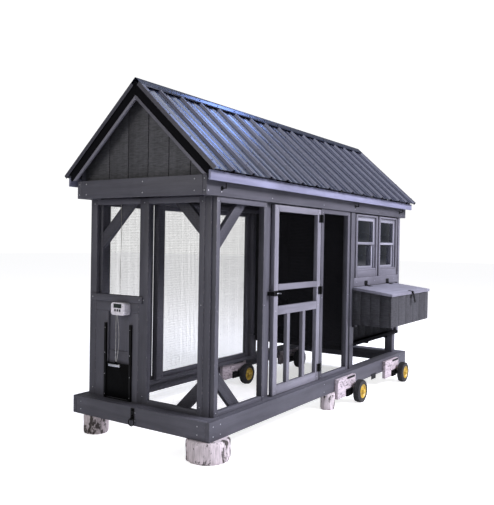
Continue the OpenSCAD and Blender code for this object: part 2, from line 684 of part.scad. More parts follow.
// what stays on the posts: hinge leaves with middle knuckles and pins, and the bolt's keeper
module post_hardware() place() color("#101012") {
  for (z = door_hinge_z) {
    block([door_pin_x + 9, wall_out - 3, z - 36], [door_pin_x + 44, wall_out, z + 36]);
    rod_z([door_pin_x, door_pin_y, z - 36], door_pin_r, 72);
    rod_z([door_pin_x, door_pin_y, z - 13], 8, 26);
    block([door_pin_x + 2, door_pin_y + 4, z - 13], [door_pin_x + 12, wall_out - 0.5, z + 13]);
  }
  difference() {
    block([884, bolt_y - 12, latch_z - 16], [912, post_y, latch_z + 16]);
    rod_x([883, bolt_y, latch_z], bolt_r + 1.5, 30);
  }
  // wall leaves and pins of the lid hinges
  for (x = nest_hinges) {
    block([x - 38, wall_out - 3, lid_pin_z + 2], [x + 38, wall_out, lid_pin_z + 46]);
    for (k = [-28, 10]) {
      rod_x([x + k, lid_pin_y, lid_pin_z], 4, 18);
      block([x + k, lid_pin_y, lid_pin_z], [x + k + 18, wall_out - 1, lid_pin_z + 6]);
    }
  }
  // staple on the front of the nest box
  for (x = [3013, 3020]) block([x, -nest_reach - 34, 870], [x + 3, -nest_reach, 874]);
  block([3013, -nest_reach - 37, 870], [3023, -nest_reach - 34, 874]);
  block([3000, -nest_reach - 3, 850], [3036, -nest_reach, 866]);
}

// painted planks that carry the stub axles
plate_z = [-72, 113];
far_plate_top = plank_h - plank_t - 1;
module wheel_plates() place() color("#cdbfc4") for (x = axle_x) {
  block([x - 368, -plank_t, plate_z[0]], [x + 32, -0.5, plate_z[1]]);
  block([x - 368, far_plate_y, plate_z[0]], [x + 72, base_w - plank_t - 0.5, far_plate_top]);
}

module axles() place() color("#1a1a1c") for (x = axle_x) {
  reach = wheel_gap + tyre_w + 6;
  // arm that carries each axle, its bolted bracket and the strap along the plank's top
  for (side = [[-plank_t, plate_z[1]], [far_plate_y, far_plate_top]]) {
    y = side[0];
    block([x - 190, y - 14, axle_z - 30], [x - 70, y - 0.3, axle_z + 40]);
    block([x - 190, y - 22, axle_z - 12], [x + 18, y - 14, axle_z + 12]);
    for (b = [x - 172, x - 90]) rod_y([b, y - 22, axle_z + 26], 9, 8);
    block([x - 165, y - 4, side[1] - 22], [x + 8, y - 0.3, side[1] - 2]);
  }
  rod_y([x, -plank_t - reach, axle_z], axle_r, reach);
  rod_y([x, -plank_t - wheel_gap + 6, axle_z], 17, wheel_gap - 6);
  rod_y([x, -plank_t - reach - 6, axle_z], 13, 6);
  rod_y([x, far_plate_y - reach, axle_z], axle_r, reach);
  rod_y([x, far_plate_y - wheel_gap + 6, axle_z], 17, wheel_gap - 6);
  rod_y([x, far_plate_y - reach - 6, axle_z], 13, 6);
}

module tyre(x, y) place() color("#17171a") translate([x, y, axle_z]) rotate([90, 0, 0])
  rotate_extrude($fn = 72) polygon([
    [hub_r, -tyre_w / 2 + 8], [hub_r + 12, -tyre_w / 2], [tyre_r - 16, -tyre_w / 2],
    [tyre_r - 4, -tyre_w / 2 + 12], [tyre_r, -tyre_w / 2 + 24], [tyre_r, tyre_w / 2 - 24],
    [tyre_r - 4, tyre_w / 2 - 12], [tyre_r - 16, tyre_w / 2], [hub_r + 12, tyre_w / 2],
    [hub_r, tyre_w / 2 - 8]]);

module hub(x, y) place() color("#f2b81c") translate([x, y, axle_z]) rotate([90, 0, 0])
  rotate_extrude($fn = 72) polygon([
    [axle_r + 0.06, -tyre_w / 2], [22, -tyre_w / 2], [24, -tyre_w / 2 + 12],
    [hub_r - 12, -tyre_w / 2 + 16], [hub_r - 6, -tyre_w / 2 + 8], [hub_r, -tyre_w / 2 + 8],
    [hub_r, tyre_w / 2 - 8], [hub_r - 6, tyre_w / 2 - 8], [hub_r - 12, tyre_w / 2 - 16],
    [24, tyre_w / 2 - 12], [22, tyre_w / 2], [axle_r + 0.06, tyre_w / 2]]);

module tyre_near_mid() tyre(axle_x[0], near_wheel_y);
module hub_near_mid() hub(axle_x[0], near_wheel_y);
module tyre_near_end() tyre(axle_x[1], near_wheel_y);
module hub_near_end() hub(axle_x[1], near_wheel_y);
module tyre_far_mid() tyre(axle_x[0], far_wheel_y);
module hub_far_mid() hub(axle_x[0], far_wheel_y);
module tyre_far_end() tyre(axle_x[1], far_wheel_y);
module hub_far_end() hub(axle_x[1], far_wheel_y);

// upright log rounds that hold the base level: place along and across the coop, radius
logs = [[115, 95, 165], [105, 1225, 102], [1905, 40, 70]];
module support_logs() place() color("#c9bcbd") for (g = logs)
  rod_z([g[0], g[1], -ground_gap], g[2], ground_gap - 0.5);

// tow plate with its bolts on the base's end, and the anchor bracket under the near side
module steel_plates() place() color("#17171a") {
  block([-5, tow_y - 17, tow_z - 8], [-0.5, tow_y + 17, tow_z + 78]);
  for (z = [tow_z + 22, tow_z + 62]) rod_x([-12, tow_y, z], 8, 7);
  translate([tow_x, tow_y, tow_z]) rotate([90, 0, 0]) rotate_extrude()
    translate([eye_r, 0]) circle(3, $fn = 24);
  block([2850, -4, -34], [2968, -0.5, 22]);
}

module tow_ring() place() color("#1f2023") translate([tow_x, tow_y, tow_z - tow_ring_r])
  rotate([0, 90, 0]) rotate_extrude() translate([tow_ring_r, 0]) circle(4, $fn = 24);

// hooks and screw eyes on the long header and the posts
hooks = [[160, header_z + 56], [house_x + 45, header_z + 56], [3700, header_z + 56]];
module header_hooks() place() color("#1b1b1d") for (h = hooks) {
  rod_y([h[0], header_y - 3, h[1]], 16, 3);
  rod_y([h[0], header_y - 36, h[1]], 4.5, 33);
  rod_z([h[0], header_y - 36, h[1] - 4.5], 4.5, 38);
}

base_frame();
posts();
header_boards();
top_plates();
gable_siding();
roof_framing();
roof_deck();
roof_sheet_near();
roof_sheet_far();
ridge_cap();
rake_trims();
fascia_boards();
screen_frames();
run_mesh();
knee_braces();
popdoor_wall();
popdoor_rails();
popdoor_panel();
popdoor_bar();
controller_case();
controller_screen();
button_up();
button_set();
button_down();
lift_cord();
sensor_lead();
house_walls();
house_partition();
house_floor();
house_trim();
window_frames();
window_panes();
sash_left();
sash_right();
roost_bars();
nest_box();
nest_dividers();
nest_lid();
lid_leaves();
hasp_strap();
door_frame();
door_mesh();
door_hardware();
door_bolt();
post_hardware();
wheel_plates();
axles();
tyre_near_mid();
hub_near_mid();
tyre_near_end();
hub_near_end();
tyre_far_mid();
hub_far_mid();
tyre_far_end();
hub_far_end();
support_logs();
steel_plates();
tow_ring();
header_hooks();
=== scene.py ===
"""Looks of the chicken coop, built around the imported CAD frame."""

import math
import random

import bmesh
import bpy
from mathutils import Matrix, Vector, noise


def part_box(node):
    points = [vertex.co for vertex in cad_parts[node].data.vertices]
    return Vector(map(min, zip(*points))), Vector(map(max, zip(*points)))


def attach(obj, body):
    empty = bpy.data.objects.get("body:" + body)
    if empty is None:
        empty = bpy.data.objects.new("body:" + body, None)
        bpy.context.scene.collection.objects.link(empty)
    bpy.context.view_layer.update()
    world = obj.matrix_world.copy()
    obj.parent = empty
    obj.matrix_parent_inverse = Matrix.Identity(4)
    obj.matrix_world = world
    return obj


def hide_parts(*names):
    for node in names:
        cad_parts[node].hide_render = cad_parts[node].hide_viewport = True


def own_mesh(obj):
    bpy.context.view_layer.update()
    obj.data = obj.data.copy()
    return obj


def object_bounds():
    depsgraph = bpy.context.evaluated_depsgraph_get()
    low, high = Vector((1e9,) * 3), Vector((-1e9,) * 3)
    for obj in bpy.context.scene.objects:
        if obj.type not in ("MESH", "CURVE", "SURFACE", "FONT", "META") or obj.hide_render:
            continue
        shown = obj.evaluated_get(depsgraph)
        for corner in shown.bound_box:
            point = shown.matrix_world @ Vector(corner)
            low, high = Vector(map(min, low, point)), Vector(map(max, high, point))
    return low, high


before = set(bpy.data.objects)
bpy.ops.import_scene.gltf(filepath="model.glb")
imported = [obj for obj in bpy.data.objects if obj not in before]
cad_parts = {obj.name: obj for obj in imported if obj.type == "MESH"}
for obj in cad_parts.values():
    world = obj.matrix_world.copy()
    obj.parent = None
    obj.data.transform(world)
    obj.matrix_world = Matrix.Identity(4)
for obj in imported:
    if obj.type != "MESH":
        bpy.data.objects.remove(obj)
cad_low, cad_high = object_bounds()
scene = bpy.context.scene
random.seed(7)

# lengths and places below are in millimetres where at() or MM turns them into metres
MM = 0.001
ORIGIN, BASE_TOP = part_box("base_frame")  # ORIGIN is the base's outer bottom corner at the pop-door gable
BASE_L, BASE_W = (round(reach / MM) for reach in (BASE_TOP - ORIGIN).xy)
MID_Y = BASE_W / 2


def at(x, y, z):
    """A point given in millimetres from the base's near corner."""
    return ORIGIN + Vector((x, y, z)) * MM


# ------------------------------------------------------------------ camera and light

CAMERA_YAW, CAMERA_TILT, CAMERA_ROLL = 0.588, -0.014, -0.017  # radians, yaw from the coop's long axis
CAMERA_PLACE = (-3541, -2649, 1390)
CAMERA_LENS, SENSOR = 45.66, 36.0


def make_camera():
    """Looks at the corner between the pop-door gable and the long wall with the walk-in door."""
    level = Vector((math.cos(CAMERA_YAW), math.sin(CAMERA_YAW), 0))
    forward = level * math.cos(CAMERA_TILT) + Vector((0, 0, math.sin(CAMERA_TILT)))
    right = Vector((level.y, -level.x, 0))
    down = forward.cross(right)
    c, s = math.cos(CAMERA_ROLL), math.sin(CAMERA_ROLL)
    right, down = right * c + down * s, down * c - right * s
    data = bpy.data.cameras.new("camera")
    data.sensor_fit, data.sensor_width, data.lens = "AUTO", SENSOR, CAMERA_LENS
    data.clip_end = 200
    cam = bpy.data.objects.new("camera", data)
    cam.matrix_world = Matrix((
        (right.x, -down.x, -forward.x, 0), (right.y, -down.y, -forward.y, 0),
        (right.z, -down.z, -forward.z, 0), (0, 0, 0, 1)))
    cam.location = at(*CAMERA_PLACE)
    scene.collection.objects.link(cam)
    scene.camera = cam


def area_light(name, place, target, size, power, colour):
    data = bpy.data.lights.new(name, "AREA")
    data.shape, data.size, data.size_y = "RECTANGLE", size[0], size[1]
    data.energy, data.color = power, colour
    light = bpy.data.objects.new(name, data)
    light.location = place
    light.rotation_euler = (Vector(target) - Vector(place)).to_track_quat("-Z", "Y").to_euler()
    light.visible_camera = False
    scene.collection.objects.link(light)


def make_studio():
    """A white backdrop for the camera only, a faint surround, three softboxes, and a blue card.

    The surround lights the coop. The card puts a sheen like the sky's on the roof.
    """
    world = bpy.data.worlds.new("studio")
    world.use_nodes = True
    tree = world.node_tree
    surround = tree.nodes["Background"]
    backdrop = tree.nodes.new("ShaderNodeBackground")
    for lit, colour, strength in ((surround, (0.93, 0.94, 1.0, 1), 0.22), (backdrop, (1, 1, 1, 1), 1.05)):
        lit.inputs["Color"].default_value = colour
        lit.inputs["Strength"].default_value = strength
    seen = tree.nodes.new("ShaderNodeLightPath").outputs["Is Camera Ray"]
    mixed = tree.nodes.new("ShaderNodeMixShader")
    for socket, source in zip(mixed.inputs, (seen, surround.outputs[0], backdrop.outputs[0])):
        tree.links.new(source, socket)
    tree.links.new(mixed.outputs[0], tree.nodes["World Output"].inputs["Surface"])
    scene.world = world
    scene.view_settings.view_transform = "Standard"
    area_light("side_softbox", (1.5, -7.5, 6.5), (0.3, 0, 1.2), (6, 3), 1500, (0.90, 0.88, 1.0))
    area_light("sky_card", (2.8, 0.95, 5.8), (-1.8, -0.3, 2.3), (1.0, 1.0), 36, (0.25, 0.40, 1.0))
    area_light("top_softbox", (1.0, -1.5, 8.0), (0.3, 0, 1.5), (7, 5), 330, (0.72, 0.80, 1.0))
    area_light("gable_fill", (-7.0, 1.5, 3.0), (-1.9, 0, 1.2), (3, 3), 95, (1.0, 0.97, 0.96))


make_camera()
make_studio()

# ------------------------------------------------------------------ materials

class Shade:
    """A node material on one Principled shader."""

    def __init__(self, name, colour=None, **sockets):
        self.material = bpy.data.materials.new(name)
        self.material.use_nodes = True
        self.tree = self.material.node_tree
        self.shader = self.tree.nodes["Principled BSDF"]
        if colour:
            self.put(Base_Color=(*colour, 1))
        self.put(**sockets)

    def put(self, **sockets):
        for key, value in sockets.items():
            socket = self.shader.inputs[key.replace("_", " ")]
            if isinstance(value, bpy.types.NodeSocket):
                self.tree.links.new(value, socket)
            else:
                socket.default_value = value

    def node(self, kind, inputs=(), **settings):
        made = self.tree.nodes.new("ShaderNode" + kind)
        for key, value in settings.items():
            setattr(made, key, value)
        for key, value in dict(inputs).items():
            socket = made.inputs[key]
            if isinstance(value, bpy.types.NodeSocket):
                self.tree.links.new(value, socket)
            else:
                socket.default_value = value
        return made

    def attribute(self, name, output="Vector"):
        return self.node("Attribute", attribute_name=name).outputs[output]

    def place(self):
        return self.node("TexCoord").outputs["Object"]

    def noise(self, vector, scale, stretch=(1, 1, 1), detail=3.0, rough=0.55):
        moved = self.node("Mapping", {"Vector": vector, "Scale": stretch}).outputs[0]
        return self.node("TexNoise", {"Vector": moved, "Scale": scale, "Detail": detail,
                                      "Roughness": rough}).outputs[0]

    def ramp(self, value, *stops):
        made = self.node("ValToRGB", {"Fac": value})
        elements = made.color_ramp.elements
        while len(elements) < len(stops):
            elements.new(0.5)
        for element, (where, colour) in zip(elements, stops):
            element.position = where
            element.color = (*colour, 1) if isinstance(colour, tuple) else (colour,) * 3 + (1,)
        return made.outputs[0]

    def mix(self, factor, first, second, blend="MIX"):
        made = self.node("Mix", data_type="RGBA", blend_type=blend, clamp_factor=True)
        for index, value in ((0, factor), (6, first), (7, second)):
            if isinstance(value, bpy.types.NodeSocket):
                self.tree.links.new(value, made.inputs[index])
            elif index:
                made.inputs[index].default_value = (*value, 1)
            else:
                made.inputs[index].default_value = value
        return made.outputs[2]

    def math(self, operation, first, second, third=None):
        made = self.node("Math", operation=operation)
        for socket, value in zip(made.inputs, (first, second, third)):
            if isinstance(value, bpy.types.NodeSocket):
                self.tree.links.new(value, socket)
            elif value is not None:
                socket.default_value = value
        return made.outputs[0]

    def bump(self, height, distance, strength, normal=None):
        made = self.node("Bump", {"Height": height, "Distance": distance, "Strength": strength})
        if normal is not None:
            self.tree.links.new(normal, made.inputs["Normal"])
        return made.outputs[0]


def painted_wood(name, colour, worn, gloss=0.5, relief=1.0, sawn=False, sheen=0.3):
    """Paint over boards: streaks along the grain, blotches, edges rubbed lighter, maybe saw marks across."""
    s = Shade(name, Specular_IOR_Level=sheen)
    grain, tone, edge = s.attribute("grain"), s.attribute("tone", "Fac"), s.attribute("edge", "Fac")
    streaks = s.noise(grain, 1.0, (7, 260, 260), 5, 0.65)
    broad = s.noise(grain, 1.0, (1.6, 22, 22), 3)
    blotch = s.noise(s.place(), 2.3, detail=4, rough=0.6)
    dark = tuple(0.72 * c for c in colour)
    light = tuple(min(1.0, 1.28 * c) for c in colour)
    base = s.mix(s.ramp(streaks, (0.25, 0.0), (0.75, 1.0)), dark, light)
    base = s.mix(0.55, base, s.ramp(broad, (0.3, dark), (0.7, light)))
    base = s.mix(0.5, base, s.ramp(blotch, (0.3, 0.62), (0.7, 1.18)), "MULTIPLY")
    base = s.mix(1.0, base, s.ramp(tone, (0.0, 0.84), (1.0, 1.14)), "MULTIPLY")
    rub = s.noise(s.place(), 55, detail=4, rough=0.7)
    mask = s.math("MULTIPLY", edge, s.ramp(rub, (0.52, 0.0), (0.68, 1.0)))
    base = s.mix(mask, base, worn)
    rough = s.math("MULTIPLY_ADD", streaks, 0.22, gloss - 0.11)
    fine = s.bump(streaks, 0.0007 * relief, 0.55)
    if sawn:
        marks = s.noise(grain, 1.0, (130, 18, 18), 4, 0.65)
        fine = s.bump(marks, 0.0045, 0.9, fine)
        base = s.mix(0.8, base, s.ramp(marks, (0.38, 0.66), (0.64, 1.32)), "MULTIPLY")
    s.put(Base_Color=base, Roughness=rough, Normal=s.bump(broad, 0.0011 * relief, 0.5, fine))
    return s.material


def worn_paint():
    """Pale paint flaking off dark timber in specks and streaks."""
    s = Shade("pale_paint")
    grain = s.attribute("grain")
    streaks = s.noise(grain, 1.0, (9, 90, 90), 6, 0.75)
    flakes = s.noise(grain, 1.0, (26, 60, 60), 7, 0.8)
    broad = s.noise(grain, 1.0, (4, 9, 9), 3)
    base = s.mix(s.ramp(streaks, (0.3, 0.0), (0.7, 1.0)), (0.36, 0.31, 0.33), (0.72, 0.63, 0.66))
    chance = s.math("ADD", s.math("MULTIPLY", flakes, 0.7), s.math("MULTIPLY", broad, 0.3))
    bare = s.ramp(chance, (0.52, 0.0), (0.60, 1.0))
    base = s.mix(bare, base, (0.07, 0.06, 0.06))
    rough = s.math("MULTIPLY_ADD", streaks, 0.2, 0.6)
    s.put(Base_Color=base, Roughness=rough, Normal=s.bump(chance, 0.003, 0.5))
    return s.material


def raw_wood(name, light, dark):
    """Bare sawn timber with growth rings and fibres along the grain."""
    s = Shade(name)
    grain = s.attribute("grain")
    rings = s.noise(grain, 1.0, (2.2, 60, 60), 6, 0.6)
    fibres = s.noise(grain, 1.0, (14, 420, 420), 3, 0.7)
    base = s.mix(s.ramp(rings, (0.3, 0.0), (0.7, 1.0)), dark, light)
    base = s.mix(0.6, base, s.ramp(fibres, (0.3, 0.7), (0.7, 1.12)), "MULTIPLY")
    base = s.mix(1.0, base, s.ramp(s.attribute("tone", "Fac"), (0.0, 0.8), (1.0, 1.12)), "MULTIPLY")
    rough = s.math("MULTIPLY_ADD", fibres, 0.2, 0.62)
    s.put(Base_Color=base, Roughness=rough, Normal=s.bump(fibres, 0.0008, 0.6))
    return s.material


def smooth(name, colour, rough, scratch=0.12, relief=0.0002, **more):
    """Coated or bare metal, plastic and cord: faint spots, smears in the gloss and a fine grit."""
    s = Shade(name, **more)
    spots = s.noise(s.place(), 38, detail=5, rough=0.65)
    smears = s.noise(s.place(), 6, detail=3)
    base = s.mix(s.ramp(spots, (0.3, 0.0), (0.75, 1.0)), tuple(0.75 * c for c in colour),
                 tuple(min(1, 1.3 * c) for c in colour))
    base = s.mix(0.4, base, s.ramp(smears, (0.3, 0.75), (0.7, 1.2)), "MULTIPLY")
    gloss = s.math("MULTIPLY_ADD", smears, scratch, rough - scratch / 2)
    s.put(Base_Color=base, Roughness=gloss, Normal=s.bump(spots, relief, 0.4))
    return s.material


# The boards' dark paints differ in tone by part, to give the contrast of daylight and deep shade:
# paler where light falls on them, nearly black under cover. They aren't measured paint colours.
PAINT = painted_wood("dark_paint", (0.086, 0.085, 0.100), (0.20, 0.19, 0.20))
# Paler, as painted light on the lid, which faces up.
LID_PAINT = painted_wood("lid_paint", (0.19, 0.187, 0.22), (0.22, 0.21, 0.22))
# Near-black painted shade for the roof deck, the verge boards and the henhouse's partition and floor.
PAINT_DARK = painted_wood("painted_deep_shade", (0.004, 0.004, 0.005), (0.014, 0.014, 0.014),
                          gloss=0.85, sheen=0.08)
SASH_PAINT = painted_wood("sash_paint", (0.27, 0.27, 0.31), (0.30, 0.30, 0.32), gloss=0.4, relief=0.4)
PALE_PAINT = worn_paint()
FASCIA_PAINT = painted_wood("fascia_paint", (0.22, 0.225, 0.315), (0.30, 0.30, 0.34), relief=0.5)
TRIM_PAINT = painted_wood("trim_paint", (0.150, 0.147, 0.172), (0.26, 0.25, 0.27))
DOOR_PAINT = painted_wood("door_paint", (0.180, 0.176, 0.202), (0.28, 0.27, 0.28))
SIDING = painted_wood("siding_paint", (0.074, 0.074, 0.078), (0.14, 0.13, 0.13),
                      gloss=0.62, relief=2.2, sawn=True)
# Darker, as painted shade on the nest box.
NEST_PAINT = painted_wood("nest_paint", (0.052, 0.052, 0.056), (0.07, 0.07, 0.07),
                          gloss=0.6, sawn=True, sheen=0.2)
# Near-black painted shade for the henhouse wall beside the nest box, in the shade under it.
SIDING_SHADE = painted_wood("wall_painted_shade", (0.010, 0.010, 0.011), (0.03, 0.03, 0.03),
                            gloss=0.75, sawn=True, sheen=0.1)
RAW = raw_wood("sawn_timber", (0.42, 0.31, 0.20), (0.23, 0.16, 0.10))
RAKE_METAL = smooth("rake_coating", (0.050, 0.049, 0.064), 0.36, relief=0.0001)
ROOF = smooth("roof_coating", (0.010, 0.014, 0.028), 0.23, relief=0.0001, Specular_IOR_Level=0.42)
# Ribs' tops and left flanks in a paler tone as painted light; the dark strips beside them are painted shade.
RIB_LIGHT = smooth("rib_painted_light", (0.048, 0.046, 0.062), 0.28, relief=0.0001, Specular_IOR_Level=0.5)
RIB_SHADE = smooth("rib_shade", (0.003, 0.004, 0.010), 0.5, Specular_IOR_Level=0.12)
BLACK_STEEL = smooth("black_steel", (0.003, 0.003, 0.003), 0.42, Specular_IOR_Level=0.15)
WIRE = smooth("coated_wire", (0.004, 0.004, 0.005), 0.6, Specular_IOR_Level=0.15)
ZINC = smooth("zinc", (0.58, 0.59, 0.61), 0.34, Metallic=1.0)
SHEET = smooth("door_sheet", (0.0015, 0.0015, 0.0015), 0.45, Specular_IOR_Level=0.06)
CASE = smooth("case_moulding", (0.78, 0.74, 0.78), 0.38, scratch=0.08, relief=0.00006)
KEYS = smooth("key_moulding", (0.030, 0.031, 0.034), 0.45, scratch=0.08)
DISPLAY = smooth("display_window", (0.018, 0.026, 0.022), 0.12, scratch=0.05, relief=0.00002)
CORD = smooth("braided_cord", (0.62, 0.61, 0.58), 0.75)
LEAD = smooth("lead_sheath", (0.42, 0.41, 0.36), 0.5)
HUB = smooth("hub_moulding", (0.52, 0.34, 0.03), 0.34, scratch=0.16, relief=0.0001)


def rubber():
    """Black rubber with patches of dust."""
    s = Shade("tyre_rubber")
    dust = s.noise(s.place(), 24, detail=6, rough=0.7)
    grit = s.noise(s.place(), 420, detail=2)
    base = s.ramp(dust, (0.35, (0.010, 0.010, 0.011)), (0.75, (0.040, 0.037, 0.033)))
    rough = s.math("MULTIPLY_ADD", dust, 0.25, 0.55)
    s.put(Base_Color=base, Roughness=rough, Normal=s.bump(grit, 0.0004, 0.5))
    return s.material


def glass():
    """Window glass, made dark and only partly clear as painted shade of the dim henhouse behind it, with
    dried rain on it.
    """
    s = Shade("window_glass", (0.012, 0.015, 0.020), IOR=1.45, Transmission_Weight=0.55)
    rain = s.noise(s.place(), 3, (1, 1, 0.4), 4)
    s.put(Roughness=s.math("MULTIPLY_ADD", rain, 0.08, 0.0), Normal=s.bump(rain, 0.0003, 0.15))
    return s.material


def weathered_log():
    """Pale, blotched timber with traces of bark."""
    s = Shade("weathered_log")
    grain = s.attribute("grain")
    rings = s.noise(grain, 1.0, (9, 60, 60), 5, 0.65)
    patches = s.noise(s.place(), 13, (1, 1, 0.5), 5, 0.7)
    base = s.mix(s.ramp(rings, (0.3, 0.0), (0.7, 1.0)), (0.40, 0.35, 0.35), (0.78, 0.70, 0.71))
    base = s.mix(s.ramp(patches, (0.53, 0.0), (0.58, 1.0)), base, (0.06, 0.05, 0.045))
    rough = s.math("MULTIPLY_ADD", rings, 0.2, 0.7)
    s.put(Base_Color=base, Roughness=rough, Normal=s.bump(patches, 0.004, 0.5, s.bump(rings, 0.0016, 0.6)))
    return s.material


RUBBER = rubber()
GLASS = glass()
LOG = weathered_log()

# ------------------------------------------------------------------ mesh helpers

def link(name, mesh, material, body, replaces, sharp):
    """Makes a visual piece that rides on a body and may replace a CAD node."""
    piece = bpy.data.objects.new(name, mesh)
    for each in material if isinstance(material, (list, tuple)) else [material]:
        mesh.materials.append(each)
    if sharp:
        mesh.shade_smooth()
        mesh.set_sharp_from_angle(angle=math.radians(sharp))
    scene.collection.objects.link(piece)
    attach(piece, body)
    if replaces:
        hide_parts(replaces)
    return piece


def islands(node):
    """The separate solids of a CAD node, each as its corners and flat faces."""
    whole = bmesh.new()
    whole.from_mesh(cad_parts[node].data)
    bmesh.ops.remove_doubles(whole, verts=whole.verts, dist=1e-6)
    left, found = dict.fromkeys(whole.faces), []  # a dict, so that the faces keep their order
    while left:
        stack, group = [next(iter(left))], []
        del left[stack[0]]
        while stack:
            face = stack.pop()
            group.append(face)
            for vert in face.verts:
                for other in vert.link_faces:
                    if other in left:
                        del left[other]
                        stack.append(other)
        index = {}
        for face in group:
            for vert in face.verts:
                index.setdefault(vert, len(index))
        found.append(([v.co.copy() for v in index], [[index[v] for v in f.verts] for f in group]))
    whole.free()
    found.sort(key=lambda part: tuple(round(min(v[k] for v in part[0]), 4) for k in (0, 1, 2)))
    return found


# faces of a block whose corners run over x, then y, then z, the last one fastest
BLOCK_FACES = ((0, 1, 3, 2), (4, 6, 7, 5), (0, 4, 5, 1), (2, 3, 7, 6), (0, 2, 6, 4), (1, 5, 7, 3))
SHARP_EDGE = 0.45  # radians between two faces, above which their edge is eased


def ring_faces(rows, sides, closed=False):
    """Quads between rows of rings, then the two end caps unless the rows close into a loop."""
    faces = []
    for i in range(rows if closed else rows - 1):
        here, above = i * sides, (i + 1) % rows * sides
        for k in range(sides):
            ahead = (k + 1) % sides
            faces.append([here + k, here + ahead, above + ahead, above + k])
    if not closed:
        faces += [list(range(sides))[::-1], [(rows - 1) * sides + k for k in range(sides)]]
    return faces


def span(part):
    """The two corners of a solid's box."""
    low = Vector(min(v[k] for v in part[0]) for k in range(3))
    high = Vector(max(v[k] for v in part[0]) for k in range(3))
    return low, high


class Build:
    """Collects closed shapes with their grain, tone and edge attributes into one mesh."""

    def __init__(self):
        self.verts, self.faces, self.grain, self.tone, self.edge, self.slots = [], [], [], [], [], []

    def add(self, verts, faces, axis, edge=(), slot=0):
        """Adds a closed shape whose grain runs along axis, with the faces in edge marked as rubbed."""
        start = len(self.verts)
        axis = axis.normalized()
        side = axis.orthogonal() if abs(axis.z) > 0.9 else Vector((0, 0, 1)).cross(axis)
        side.normalize()
        other = axis.cross(side)
        shift = Vector((random.uniform(0, 40), random.uniform(0, 40), random.uniform(0, 40)))
        tone = random.random()
        for v in verts:
            self.verts.append(tuple(v))
            self.grain.append(tuple(Vector((v.dot(axis), v.dot(side), v.dot(other))) + shift))
            self.tone.append(tone)
        edge = set(edge)
        for i, face in enumerate(faces):
            self.faces.append([start + k for k in face])
            self.edge.append(1.0 if i in edge else 0.0)
            self.slots.append(slot)

    def board(self, part, ease=2.5, axis=None, segments=2, slot=0):
        """A solid with its sharp edges eased by ease mm, its grain along its longest edge or along axis."""
        bm = bmesh.new()
        made = [bm.verts.new(v) for v in part[0]]
        for face in part[1]:
            try:
                bm.faces.new([made[k] for k in face])
            except ValueError:
                pass
        bmesh.ops.recalc_face_normals(bm, faces=bm.faces)
        bmesh.ops.dissolve_limit(bm, angle_limit=0.02, verts=bm.verts, edges=bm.edges)
        if axis is None:
            longest = max(bm.edges, key=lambda e: e.calc_length())
            axis = longest.verts[1].co - longest.verts[0].co
        mark = bm.faces.layers.int.new("eased")
        sharp = [e for e in bm.edges if len(e.link_faces) == 2 and e.calc_face_angle(0) > SHARP_EDGE]
        thin = min(span(part)[1] - span(part)[0])
        if sharp and ease:
            made = bmesh.ops.bevel(bm, geom=sharp, offset=min(ease * MM, 0.3 * thin), segments=segments,
                                   profile=0.5, affect="EDGES", clamp_overlap=True)
            for face in made["faces"]:
                face[mark] = 1
        bm.verts.index_update()
        self.add([v.co for v in bm.verts], [[v.index for v in f.verts] for f in bm.faces], axis,
                 [i for i, f in enumerate(bm.faces) if f[mark]], slot)
        bm.free()

    def tube(self, points, radius, sides=8):
        """A round bar along points."""
        points = [Vector(p) for p in points]
        rings, up = [], None
        for i, p in enumerate(points):
            ahead = (points[min(i + 1, len(points) - 1)] - points[max(i - 1, 0)]).normalized()
            up = (up - ahead * up.dot(ahead)).normalized() if up else ahead.orthogonal().normalized()
            side = ahead.cross(up)
            rings += [p + (up * math.cos(a) + side * math.sin(a)) * radius
                      for a in (2 * math.pi * k / sides for k in range(sides))]
        self.add(rings, ring_faces(len(points), sides), points[-1] - points[0])

    def spin(self, centre, axis, outline, sides=32, slot=0, closed=False, up=None):
        """An outline of (distance along the axis, radius) turned about an axis."""
        axis = Vector(axis).normalized()
        up = (Vector(up) if up else axis.orthogonal()).normalized()
        side = axis.cross(up)
        verts = [Vector(centre) + axis * h + (up * math.cos(a) + side * math.sin(a)) * r
                 for h, r in outline for a in (2 * math.pi * k / sides for k in range(sides))]
        self.add(verts, ring_faces(len(outline), sides, closed), axis, slot=slot)

    def mesh(self, name):
        """The collected shapes as a mesh, with the attributes that the materials read."""
        mesh = bpy.data.meshes.new(name)
        mesh.from_pydata(self.verts, [], self.faces)
        bm = bmesh.new()
        bm.from_mesh(mesh)
        bmesh.ops.recalc_face_normals(bm, faces=bm.faces)
        bm.to_mesh(mesh)
        bm.free()
        grain = mesh.attributes.new("grain", "FLOAT_VECTOR", "POINT")
        grain.data.foreach_set("vector", [x for g in self.grain for x in g])
        mesh.attributes.new("tone", "FLOAT", "POINT").data.foreach_set("value", self.tone)
        mesh.attributes.new("edge", "FLOAT", "FACE").data.foreach_set("value", self.edge)
        mesh.polygons.foreach_set("material_index", self.slots)
        return mesh

    def done(self, name, material, body, slot, replaces=None, sharp=35):
        return link(name, self.mesh(name), material, body, replaces, sharp)


def boards(node, material, body="coop", slot="painted_boards", ease=2.5, axis=None):
    """A CAD node of boards, drawn again with eased corners and its own grain on each board."""
    made = Build()
    for part in islands(node):
        made.board(part, ease, axis)
    made.done(node + "_boards", material, body, slot, node)


